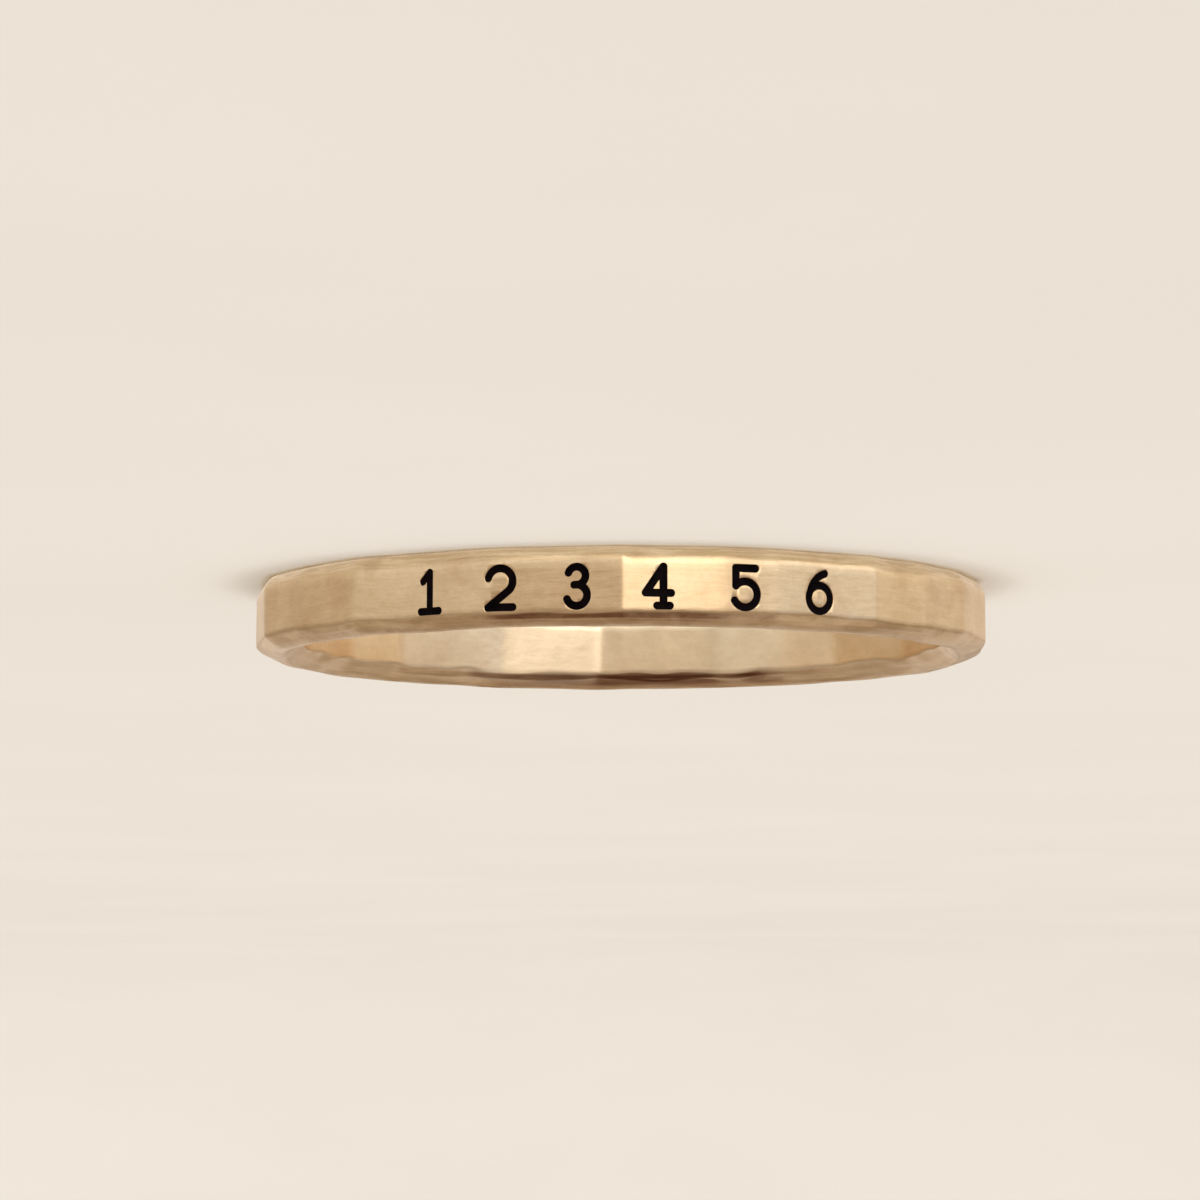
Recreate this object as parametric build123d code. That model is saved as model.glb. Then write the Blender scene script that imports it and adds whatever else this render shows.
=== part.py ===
from build123d import *

import os
from math import acos, atan2, cos, degrees, hypot, radians, sin
from typing import NamedTuple

# A thin hand-hammered gold band that lies on its side, with six engraved and black-filled numerals.
# Lengths are millimetres and angles are degrees.
# The origin is the centre of the finger hole at half the band's width, and +Z runs along the hole.
# The numerals face -Y.

# Band
bore_diameter = 17.3
wall_thickness = 1.2
band_width = 2.0

# Hammered outside
hammer_depth = 0.12
ridge_radius = 1.0
rest_shoulder_height = 0.33
rest_shoulder_depth = 0.26
top_shoulder_height = 0.26
top_shoulder_depth = 0.26

# Finger hole
bore_bevel_height = 0.28
bore_bevel_depth = 0.2

# Engraving
engraving_depth = 0.18
fill_recess = 0.03
fill_gap = 0.01
numeral_width = 0.84
numeral_margin = 0.12
stroke_width = 0.19


class Blow(NamedTuple):
    """One flat that a hammer blow left on the outside, with the ridge that it starts at."""

    ridge_angle: float  # from the front, counted towards -X
    ridge_drop: float  # how far the ridge lies under the full radius, as a share of hammer_depth
    softness: float  # the ridge's roundness, as a share of ridge_radius
    rest_shoulder: float  # the flat's lower shoulder, as a share of the full one
    top_shoulder: float  # the flat's upper shoulder, as a share of the full one


BLOWS = (
    Blow(-72.5, 0.0, 1.0, 0.85, 1.0),
    Blow(-59.0, 1.0, 2.5, 0.95, 0.9),
    Blow(-44.3, 0.1, 1.2, 1.0, 0.9),
    Blow(-20.0, 0.15, 2.5, 0.9, 0.85),
    Blow(0.3, 0.0, 0.4, 1.0, 1.0),
    Blow(15.5, 0.25, 2.5, 0.9, 0.9),
    Blow(23.8, 0.3, 0.8, 0.85, 0.95),
    Blow(41.4, 0.1, 0.6, 1.0, 0.8),
    Blow(52.5, 0.2, 0.9, 0.9, 1.0),
    Blow(65.8, 0.15, 1.0, 1.0, 0.9),
    Blow(80.0, 0.0, 1.0, 0.95, 0.85),
    Blow(96.0, 0.25, 1.4, 0.85, 1.0),
    Blow(114.0, 0.05, 0.8, 1.0, 0.9),
    Blow(131.0, 0.35, 1.6, 0.9, 0.85),
    Blow(147.0, 0.1, 0.7, 0.85, 1.0),
    Blow(166.0, 0.2, 1.1, 1.0, 0.9),
    Blow(184.0, 0.0, 0.8, 0.9, 0.95),
    Blow(202.0, 0.3, 1.5, 0.95, 0.85),
    Blow(219.0, 0.15, 0.9, 0.85, 1.0),
    Blow(237.0, 0.25, 1.2, 1.0, 0.9),
    Blow(254.0, 0.05, 0.8, 0.9, 0.85),
    Blow(271.0, 0.2, 1.0, 0.95, 1.0),
)

# The middle of each numeral, from the front, counted towards -X
NUMERAL_ANGLES = (-30.0, -18.0, -6.5, 5.5, 18.5, 31.0)

# Sizes that follow from the driving ones
bore_radius = bore_diameter / 2
outer_radius = bore_radius + wall_thickness
half_width = band_width / 2
face_height = band_width - rest_shoulder_height - top_shoulder_height
face_middle = (rest_shoulder_height - top_shoulder_height) / 2
numeral_height = face_height - 2 * numeral_margin
stroke_reach_x = (numeral_width - stroke_width) / 2
stroke_reach_y = (numeral_height - stroke_width) / 2
overlap = stroke_width / 4
horn_shift = stroke_width / 10


def outward(angle):
    """The direction that points out of the finger hole at an angle from the front."""
    return Vector(-sin(radians(angle)), -cos(radians(angle)), 0)


def ridge_point(index):
    """The place of one ridge, seen along the finger hole."""
    blow = BLOWS[index % len(BLOWS)]
    return outward(blow.ridge_angle) * (outer_radius - blow.ridge_drop * hammer_depth)


def flat_normal(index):
    """The outward direction of the flat that follows one ridge."""
    along = (ridge_point(index + 1) - ridge_point(index)).normalized()
    across = along.cross(Vector(0, 0, 1))
    return across if across.dot(ridge_point(index)) > 0 else -across


def inset_ridge_point(index, inset):
    """A ridge's place after both flats beside it have moved inwards by the inset."""
    before = flat_normal(index - 1)
    after = flat_normal(index)
    return ridge_point(index) - (before + after) * (inset / (1 + before.dot(after)))


def hammered_prism(inset=0.0):
    """The hammered outside as a solid block with no hole, or a smaller one inside it."""
    points = [inset_ridge_point(index, inset) for index in range(len(BLOWS))]
    radii = [blow.softness * ridge_radius for blow in BLOWS]
    outline = FilletPolyline(*points, radius=radii, close=True)
    return extrude(make_face(outline), amount=half_width, both=True)


def shoulder_cutter(index, side, height, depth):
    """What a slanted shoulder takes off beside one flat, on the side of +Z (1) or -Z (-1)."""
    normal = flat_normal(index)
    distance = normal.dot(ridge_point(index))
    start = normal * distance + Vector(0, 0, side * (half_width - height))
    slope = normal * height + Vector(0, 0, side * depth)
    plane = Plane(origin=start, x_dir=normal.cross(Vector(0, 0, 1)), z_dir=slope)
    seated = (Align.CENTER, Align.CENTER, Align.MIN)
    return plane * Box(2 * outer_radius, 2 * outer_radius, outer_radius, align=seated)


def finger_hole():
    """The round bore with a bevel at both ends, as the solid that it takes off."""
    mouth_radius = bore_radius + bore_bevel_depth
    wall_half = half_width - bore_bevel_height
    section = Polyline(
        (0, 0, -half_width),
        (mouth_radius, 0, -half_width),
        (bore_radius, 0, -wall_half),
        (bore_radius, 0, wall_half),
        (mouth_radius, 0, half_width),
        (0, 0, half_width),
        close=True,
    )
    return revolve(make_face(section), axis=Axis.Z)


def stroke(width, *paths):
    """One pen stroke of a numeral: its paths thickened to a width, round at every end and corner."""
    edges = [edge for path in paths for edge in path.edges()]
    runs = [trace(edge, width) for edge in edges]
    rounds = [Pos(edge @ end) * Circle(width / 2) for edge in edges for end in (0, 1)]
    return Sketch() + runs + rounds


def arc(centre_x, centre_y, radius, start, end):
    """A round stretch of a stroke's path, from one angle to another."""
    return CenterArc((centre_x, centre_y), radius, start, end - start)


def tangent_angle(centre_x, centre_y, radius, point_x, point_y):
    """Where a line from a point touches a circle, on the circle's right-hand side."""
    away_x = point_x - centre_x
    away_y = point_y - centre_y
    return degrees(atan2(away_y, away_x) + acos(radius / hypot(away_x, away_y)))


# Each numeral is drawn from its own middle. Its strokes' centre lines reach x to both sides and y up
# and down, and the places between are shares of those two.


def numeral_one(x, y, width):
    """A stem with a flag at its top and a foot."""
    flag_tip = (-0.65 * x, 0.55 * y)
    foot_reach = 0.85 * x
    stem = Polyline(flag_tip, (0, y), (0, -y + overlap))
    foot = Line((-foot_reach, -y), (foot_reach, -y))
    return stroke(width, stem) + stroke(width, foot)


def numeral_two(x, y, width):
    """A bowl that runs off in a slant, with a straight foot."""
    bowl_start = 165
    bowl_end = tangent_angle(0, y - x, x, -x, -y)
    bowl = arc(0, y - x, x, bowl_start, bowl_end)
    slant = Polyline(bowl @ 1, (-x, -y), (x, -y))
    return stroke(width, bowl, slant)


def numeral_three(x, y, width):
    """Two bowls, the upper one smaller, with a short bar between them."""
    upper = 0.46 * y
    lower = y - upper
    middle = y - 2 * upper
    open_end = 160
    waist_end = 62
    top_bowl = arc(0, y - upper, upper, open_end, -waist_end)
    bottom_bowl = arc(0, lower - y, lower, waist_end, -open_end)
    bar = Line((-0.2 * x, middle), (0.42 * x, middle))
    return stroke(width, top_bowl) + stroke(width, bottom_bowl) + stroke(width, bar)


def numeral_four(x, y, width):
    """A slant and a bar in one stroke, and a stem with a foot."""
    stem_x = 0.4 * x
    bar_y = -0.35 * y
    foot_reach = 0.5 * x
    slant = Polyline((stem_x, y), (-x, bar_y), (x, bar_y))
    stem = Line((stem_x, y - overlap), (stem_x, -y + overlap))
    foot = Line((stem_x - foot_reach, -y), (stem_x + foot_reach, -y))
    return stroke(width, slant) + stroke(width, stem) + stroke(width, foot)


def numeral_five(x, y, width):
    """A flag and a short stem in one stroke, and a bowl that starts inside the stem's end."""
    flag_reach = 0.85 * x
    stem_angle = 140
    bowl_start = 134
    bowl_end = -150
    stem_x = x * cos(radians(stem_angle))
    stem_y = x - y + x * sin(radians(stem_angle))
    hook = Polyline((flag_reach, y), (stem_x, y), (stem_x, stem_y))
    bowl = arc(0, x - y, x, bowl_start, bowl_end)
    return stroke(width, hook) + stroke(width, bowl)


def numeral_six(x, y, width):
    """A closed bowl, and a horn that grows out of its left side."""
    bowl_y = x - y
    bowl = Circle(x + width / 2) - Circle(x - width / 2)
    sweep = 2 * y - x
    centre_x = sweep - x + horn_shift
    meeting = degrees(acos((x * x - centre_x * centre_x - sweep * sweep) / (2 * centre_x * sweep)))
    horn_start = meeting + 2
    horn_end = 106
    horn = arc(centre_x, bowl_y, sweep, horn_start, horn_end)
    return Pos(0, bowl_y) * bowl + stroke(width, horn)


NUMERALS = (numeral_one, numeral_two, numeral_three, numeral_four, numeral_five, numeral_six)


def numeral_block(index, width):
    """One numeral at its place on the band, as a block that runs outwards from the finger hole."""
    facing = outward(NUMERAL_ANGLES[index])
    reading = facing.cross(Vector(0, 0, 1))
    face = Plane(origin=Vector(0, 0, face_middle), x_dir=reading, z_dir=facing)
    shape = NUMERALS[index](stroke_reach_x, stroke_reach_y, width)
    return extrude(face.offset(bore_radius) * shape, amount=2 * wall_thickness)


def make_band(groove_floor):
    """The gold band: hammered outside, shoulders, bore and engraved grooves."""
    band = hammered_prism()
    for index, blow in enumerate(BLOWS):
        rest_height = blow.rest_shoulder * rest_shoulder_height
        rest_depth = blow.rest_shoulder * rest_shoulder_depth
        top_height = blow.top_shoulder * top_shoulder_height
        top_depth = blow.top_shoulder * top_shoulder_depth
        band -= shoulder_cutter(index, -1, rest_height, rest_depth)
        band -= shoulder_cutter(index, 1, top_height, top_depth)
    band -= finger_hole()
    for index in range(len(NUMERALS)):
        band -= numeral_block(index, stroke_width) - groove_floor
    return band.solid()


def make_fill(index, face, floor):
    """The black enamel in one groove, between its face and its floor."""
    block = numeral_block(index, stroke_width - 2 * fill_gap)
    return ((block & face) - floor).solid()


def write_parts():
    """Writes one file for the band and one for each numeral's fill."""
    os.makedirs("parts", exist_ok=True)
    export_step(make_band(hammered_prism(engraving_depth)), "parts/band.step")
    face = hammered_prism(fill_recess)
    floor = hammered_prism(engraving_depth - fill_gap)
    for index in range(len(NUMERALS)):
        export_step(make_fill(index, face, floor), f"parts/numeral_fill_{index + 1}.step")


write_parts()
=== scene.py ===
"""The looks of a thin hand-hammered gold band with six engraved, black-filled numerals.

Shapes are built in millimetres and brought to metres at the end. Angles round the band are degrees
from the front, counted towards -X. The band lies on its side, and the numerals' tops point to -Z.
"""

import logging
from collections.abc import Iterable
from dataclasses import dataclass, field
from enum import Enum
from math import acos, atan2, copysign, cos, degrees, hypot, pi, radians, sin, sqrt

import bmesh
import bpy
import numpy as np
from bmesh.types import BMesh, BMFace
from bpy.types import Material, Mesh, Node, NodeSocket, Object
from mathutils import Matrix, Vector, noise
from numpy import ndarray as Array


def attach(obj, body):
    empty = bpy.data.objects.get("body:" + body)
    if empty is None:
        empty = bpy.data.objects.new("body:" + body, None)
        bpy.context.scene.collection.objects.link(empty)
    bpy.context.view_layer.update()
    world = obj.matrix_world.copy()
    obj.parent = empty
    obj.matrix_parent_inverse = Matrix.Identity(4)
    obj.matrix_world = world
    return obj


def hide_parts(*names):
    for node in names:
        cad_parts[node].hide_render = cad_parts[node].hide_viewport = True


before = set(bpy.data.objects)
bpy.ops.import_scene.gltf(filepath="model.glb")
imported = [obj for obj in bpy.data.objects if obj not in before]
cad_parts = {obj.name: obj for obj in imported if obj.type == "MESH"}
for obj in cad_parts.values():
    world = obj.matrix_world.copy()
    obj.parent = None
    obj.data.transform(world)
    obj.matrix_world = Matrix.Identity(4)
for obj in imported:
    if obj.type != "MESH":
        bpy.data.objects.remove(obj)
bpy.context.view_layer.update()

log = logging.getLogger("ring")

MM = 0.001  # one millimetre in metres

Colour = tuple[float, float, float]
Outline = list[tuple[float, float]]


# ---- shader expressions


class Value:
    """A shader socket that Python's operators work on."""

    def __init__(self, tree: "NodeTree", socket: NodeSocket) -> None:
        """Keeps the tree that new Math nodes go to and the socket that they read."""
        self.tree = tree
        self.socket = socket

    def _math(self, operation: str, *others: "Value | float", swapped: bool = False) -> "Value":
        """Adds one Math node.

        Args:
            operation: The Math node's operation.
            others: What the node's further sockets read.
            swapped: Whether this value comes second.

        Returns:
            The node's result.
        """
        values = [self, *others]
        if swapped:
            values.reverse()
        node = self.tree.add("ShaderNodeMath", {"operation": operation}, dict(enumerate(values)))
        return Value(self.tree, node.outputs[0])

    def __add__(self, other: "Value | float") -> "Value":
        """This value plus another."""
        return self._math("ADD", other)

    __radd__ = __add__

    def __sub__(self, other: "Value | float") -> "Value":
        """This value less another."""
        return self._math("SUBTRACT", other)

    def __rsub__(self, other: "Value | float") -> "Value":
        """Another value less this one."""
        return self._math("SUBTRACT", other, swapped=True)

    def __mul__(self, other: "Value | float") -> "Value":
        """This value times another."""
        return self._math("MULTIPLY", other)

    __rmul__ = __mul__

    def __truediv__(self, other: "Value | float") -> "Value":
        """This value divided by another."""
        return self._math("DIVIDE", other)

    def __abs__(self) -> "Value":
        """This value without its sign."""
        return self._math("ABSOLUTE")

    def root(self) -> "Value":
        """The square root of this value."""
        return self._math("SQRT")

    def step(self, low: float, high: float) -> "Value":
        """This value as a smooth share.

        Args:
            low: The value that gives 0.
            high: The value that gives 1.

        Returns:
            The share.
        """
        settings = {"interpolation_type": "SMOOTHSTEP", "clamp": True}
        sockets = {"Value": self, "From Min": low, "From Max": high}
        return Value(self.tree, self.tree.add("ShaderNodeMapRange", settings, sockets).outputs[0])


class NodeTree:
    """The nodes of a material or a world."""

    def __init__(self, tree: bpy.types.NodeTree) -> None:
        """Empties a tree and keeps it."""
        self.tree = tree
        self.tree.nodes.clear()

    def add(self, kind: str, settings: dict | None = None, sockets: dict | None = None) -> Node:
        """Adds one node.

        Args:
            kind: The node's type.
            settings: What is set on the node first, a ramp's places and colours as stops.
            sockets: The value or the link of each input, by its name or number.

        Returns:
            The new node.
        """
        node = self.tree.nodes.new(kind)
        for name, setting in (settings or {}).items():
            if name == "stops":
                self._set_stops(node.color_ramp, setting)
            else:
                setattr(node, name, setting)
        for name, value in (sockets or {}).items():
            self.feed(node.inputs[name], value)
        return node

    @staticmethod
    def _set_stops(ramp: bpy.types.ColorRamp, stops: Iterable[tuple[float, Colour]]) -> None:
        """Gives a ramp its stops.

        Args:
            ramp: The ramp of a node.
            stops: The place and the colour of each stop.
        """
        for index, (place, colour) in enumerate(stops):
            stop = ramp.elements[index] if index < 2 else ramp.elements.new(place)
            stop.position = place
            stop.color = (*colour, 1.0)

    def feed(self, socket: NodeSocket, value: object) -> None:
        """Links a value to an input, or sets it there.

        Args:
            socket: The input.
            value: A Value, an output socket, a number or a colour.
        """
        if isinstance(value, Value):
            value = value.socket
        if isinstance(value, NodeSocket):
            self.tree.links.new(value, socket)
        elif socket.type == "RGBA" and len(value) == 3:
            socket.default_value = (*value, 1.0)
        else:
            socket.default_value = value


class ShaderTree(NodeTree):
    """One material's nodes, with a Principled shader at the end."""

    def __init__(self, name: str) -> None:
        """Makes an empty material and its closing nodes.

        Args:
            name: The material's name.
        """
        self.material = bpy.data.materials.new(name)
        self.material.use_nodes = True
        super().__init__(self.material.node_tree)
        self.shader = self.add("ShaderNodeBsdfPrincipled")
        self.add("ShaderNodeOutputMaterial", sockets={"Surface": self.shader.outputs[0]})
        where = self.add("ShaderNodeTexCoord").outputs["Object"]
        parts = self.add("ShaderNodeSeparateXYZ", sockets={0: where})
        self.x, self.y, self.z = (Value(self, parts.outputs[axis]) for axis in range(3))

    def point(self, x: Value | float, y: Value | float, z: Value | float) -> NodeSocket:
        """A vector of three values."""
        return self.add("ShaderNodeCombineXYZ", sockets={0: x, 1: y, 2: z}).outputs[0]

    def cloud(self, where: NodeSocket, detail: float = 2.0, roughness: float = 0.5) -> Value:
        """Smooth noise of one unit's size at a place, from 0 to 1, with finer layers in it."""
        sockets = {"Vector": where, "Scale": 1.0, "Detail": detail, "Roughness": roughness}
        return Value(self, self.add("ShaderNodeTexNoise", sockets=sockets).outputs[0])

    def spots(self, size: float, detail: float = 2.0) -> Value:
        """Uneven spots of one size in metres, from 0 to 1."""
        return self.cloud(self.point(self.x / size, self.y / size, self.z / size), detail)

    def blend(self, share: Value | float, first: object, second: object) -> NodeSocket:
        """The first colour, with a share of the second one mixed in."""
        node = self.add("ShaderNodeMix", {"data_type": "RGBA"}, {0: share, 6: first, 7: second})
        return node.outputs[2]

    def bump(self, height: Value, distance: float) -> NodeSocket:
        """The normal of a relief from 0 to 1, whose full height is given in metres."""
        sockets = {"Distance": distance, "Height": height}
        return self.add("ShaderNodeBump", sockets=sockets).outputs[0]

    def finish(self, **sockets: object) -> Material:
        """Feeds the closing shader and hands over the material.

        Args:
            sockets: The shader's inputs, with _ for each space in their names.

        Returns:
            The material.
        """
        for name, value in sockets.items():
            self.feed(self.shader.inputs[name.replace("_", " ")], value)
        return self.material


# ---- finishes


@dataclass(frozen=True)
class BrushedGold:
    """Satin gold, brushed round the band and mottled, with painted shade in the finger hole's
    bevels and a painted sheen that makes the inner wall paler.
    """

    bright: Colour = (0.90, 0.68, 0.43)
    deep: Colour = (0.68, 0.475, 0.265)
    tarnish: Colour = (0.56, 0.35, 0.18)
    # painted sheen: the pale colour that lightens the inner wall
    painted_sheen: Colour = (0.98, 0.88, 0.68)
    # painted shade: the dark colour mixed into the finger hole's bevels
    painted_shade: Colour = (0.24, 0.12, 0.06)
    roughness: float = 0.33
    fine_line: tuple[float, float] = (0.040 * MM, 0.45 * MM)
    coarse_line: tuple[float, float] = (0.11 * MM, 1.5 * MM)
    patch_size: float = 2.2 * MM
    dimple_size: float = 0.32 * MM
    speck_size: float = 0.09 * MM
    relief: float = 0.010 * MM
    wall_end: float = 8.75 * MM
    bevel_edge: float = 8.82 * MM
    bevel_start: float = 0.68 * MM
    bevel_shift: float = 0.10 * MM
    tarnish_size: float = 1.3 * MM
    # how far along X the painted shade in the bevels and the painted sheen on the inner wall reach
    painted_light_reach: float = 6.5 * MM
    shoulder_start: float = 0.60 * MM
    inner_relief: float = 0.35  # how much of the brushing and tarnish the inner wall has
    line_contrast: float = 0.40
    spot_contrast: float = 0.60
    tarnish_share: float = 0.45

    @staticmethod
    def _lines(tree: ShaderTree, across: Value, size: tuple[float, float], shift: float) -> Value:
        """Brush lines that run round the band.

        Args:
            tree: The material's nodes.
            across: The place across the lines.
            size: The lines' width and length.
            shift: Where in the noise these lines start.

        Returns:
            The lines, from 0 to 1.
        """
        width, length = size
        where = tree.point(tree.x / length, tree.y / length, across / width + shift)
        return tree.cloud(where, detail=3.0, roughness=0.6)

    def material(self) -> Material:
        """Builds the material from its nodes.

        Returns:
            The material.
        """
        tree = ShaderTree("gold")
        radius = (tree.x * tree.x + tree.y * tree.y).root()
        patches = tree.spots(self.patch_size, 4.0)
        dimples = tree.spots(self.dimple_size, 2.0)
        specks = tree.spots(self.speck_size, 1.0)
        stains = tree.spots(self.tarnish_size, 5.0)
        across = tree.z + 0.6 * radius + 0.10 * MM * dimples
        fine = self._lines(tree, across, self.fine_line, 0.0)
        coarse = self._lines(tree, across, self.coarse_line, 3.0)
        past_wall = radius.step(self.wall_end, self.wall_end + 0.3 * MM)
        outside = self.inner_relief + (1 - self.inner_relief) * past_wall
        shoulder = outside * abs(tree.z).step(self.shoulder_start, self.shoulder_start + 0.15 * MM)
        fine_share = (0.55 - 0.45 * shoulder) * fine.step(0.32, 0.68)
        lines = fine_share + (0.45 + 0.45 * shoulder) * coarse.step(0.38, 0.62)
        spots = 0.5 * patches.step(0.35, 0.65) + 0.3 * dimples.step(0.3, 0.7)
        spots = spots + 0.2 * specks.step(0.3, 0.7)
        contrast = (self.line_contrast + 0.5 * shoulder) * outside
        tone = 0.5 + contrast * (lines - 0.5) + self.spot_contrast * (spots - 0.5)
        colour = tree.blend(tone, self.deep, self.bright)
        stained = self.tarnish_share * outside * stains.step(0.50, 0.72)
        colour = tree.blend(stained, colour, self.tarnish)
        # the painted shade and the painted sheen are full near the front and back and fade out
        # towards the sides
        middle = 1 - abs(tree.x).step(0.4 * self.painted_light_reach, self.painted_light_reach)
        bevel = abs(tree.z + self.bevel_shift).step(self.bevel_start, self.bevel_start + 0.08 * MM)
        bevel = bevel * (1 - radius.step(self.bevel_edge - 0.06 * MM, self.bevel_edge))
        # painted sheen: the inner wall, outside its bevels, made paler, most at the front and back
        painted_sheen_share = (1 - outside) * (1 - bevel) * (0.30 + 0.40 * middle)
        colour = tree.blend(painted_sheen_share, colour, self.painted_sheen)
        # painted shade: the finger hole's bevels darkened, most at the front and back
        colour = tree.blend(middle * bevel * (0.55 + 0.4 * patches), colour, self.painted_shade)
        rough = self.roughness + 0.12 * (fine - 0.5) + 0.16 * (0.5 - patches)
        rough = rough + 0.10 * (coarse - 0.5)
        normal = tree.bump(outside * (0.22 * fine + 0.13 * coarse) + 0.65 * dimples, self.relief)
        return tree.finish(Base_Color=colour, Metallic=1.0, Roughness=rough, Normal=normal)


@dataclass(frozen=True)
class BlackEnamel:
    """Near-black enamel with a soft gloss and fine pits."""

    black: Colour = (0.0015, 0.0005, 0.001)
    grey: Colour = (0.005, 0.002, 0.003)
    roughness: float = 0.42
    gloss: float = 0.03
    grain: float = 0.06 * MM
    relief: float = 0.002 * MM

    def material(self) -> Material:
        """Builds the material from its nodes.

        Returns:
            The material.
        """
        tree = ShaderTree("black_enamel")
        grain = tree.spots(self.grain, detail=3.0)
        broad = tree.spots(6 * self.grain)
        colour = tree.blend(broad.step(0.35, 0.7), self.black, self.grey)
        rough = self.roughness + 0.25 * (grain - 0.5)
        normal = tree.bump(grain, self.relief)
        return tree.finish(
            Base_Color=colour, Roughness=rough, Normal=normal, Specular_IOR_Level=self.gloss
        )


@dataclass(frozen=True)
class PaleSurface:
    """A matt pale studio surface with a hardly visible mottle."""

    light: Colour = (0.83, 0.81, 0.75)
    dark: Colour = (0.81, 0.79, 0.73)
    mottle: float = 30 * MM

    def material(self) -> Material:
        """Builds the material from its nodes.

        Returns:
            The material.
        """
        tree = ShaderTree("pale_surface")
        cloud = tree.spots(self.mottle, detail=4.0)
        colour = tree.blend(cloud.step(0.3, 0.7), self.dark, self.light)
        return tree.finish(Base_Color=colour, Roughness=0.85, Specular_IOR_Level=0.2)


# ---- mesh helpers


def mesh_object(name: str, bm: BMesh) -> Object:
    """Turns a bmesh into an object in the scene.

    Args:
        name: The object's name.
        bm: The bmesh, which is freed.

    Returns:
        The object, at the origin.
    """
    mesh = bpy.data.meshes.new(name)
    bm.to_mesh(mesh)
    bm.free()
    made = bpy.data.objects.new(name, mesh)
    bpy.context.scene.collection.objects.link(made)
    return made


def read_places(mesh: Mesh) -> Array:
    """Reads the places of a mesh's vertices.

    Args:
        mesh: The mesh.

    Returns:
        A row for each vertex.
    """
    places = np.empty(3 * len(mesh.vertices), np.float32)
    mesh.vertices.foreach_get("co", places)
    return places.reshape(-1, 3)


def write_places(mesh: Mesh, *columns: Array) -> None:
    """Moves a mesh's vertices to new places, given as columns of x, y and z."""
    mesh.vertices.foreach_set("co", np.stack(columns, axis=1).astype(np.float32).ravel())
    mesh.update()


def wrap(mesh: Mesh, turn: Array, radius: Array, height: Array) -> None:
    """Moves a mesh's vertices to their angles in radians, radii and heights on the band."""
    write_places(mesh, -radius * np.sin(turn), -radius * np.cos(turn), height)


def combine(target: Object, tools: list[Object], operation: str) -> None:
    """Works solids into another one, all at once, and removes them.

    Args:
        target: The object that is changed.
        tools: The objects that cut or join it.
        operation: UNION or DIFFERENCE.
    """
    group = bpy.data.collections.new("tools")
    for tool in tools:
        group.objects.link(tool)
    modifier = target.modifiers.new("combine", "BOOLEAN")
    modifier.operation = operation
    modifier.solver = "EXACT"
    modifier.operand_type = "COLLECTION"
    modifier.collection = group
    bpy.context.view_layer.update()
    shown = target.evaluated_get(bpy.context.evaluated_depsgraph_get())
    mesh = bpy.data.meshes.new_from_object(shown)
    target.modifiers.clear()
    target.data = mesh
    for tool in tools:
        bpy.data.objects.remove(tool)
    bpy.data.collections.remove(group)


def unit(ways: Array) -> Array:
    """Rows of vectors, each brought to a length of one."""
    return ways / np.linalg.norm(ways, axis=1)[:, None]


def close_up(piece: Object, sharp_angle: float, material: Material) -> None:
    """Brings a finished millimetre mesh to metres and dresses it.

    Args:
        piece: The object.
        sharp_angle: Edges that turn by more than this many degrees stay crisp.
        material: The material that it gets.
    """
    mesh = piece.data
    mesh.transform(Matrix.Scale(MM, 4))
    mesh.polygons.foreach_set("use_smooth", [True] * len(mesh.polygons))
    mesh.set_sharp_from_angle(angle=radians(sharp_angle))
    mesh.materials.clear()
    mesh.materials.append(material)
    mesh.update()


# ---- hammered walls


@dataclass(frozen=True)
class Flat:
    """One flat of a hammered wall, with the ridge that it starts at."""

    ridge_angle: float
    ridge_radius: float
    softness: float
    lean: float = 0.0


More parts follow.
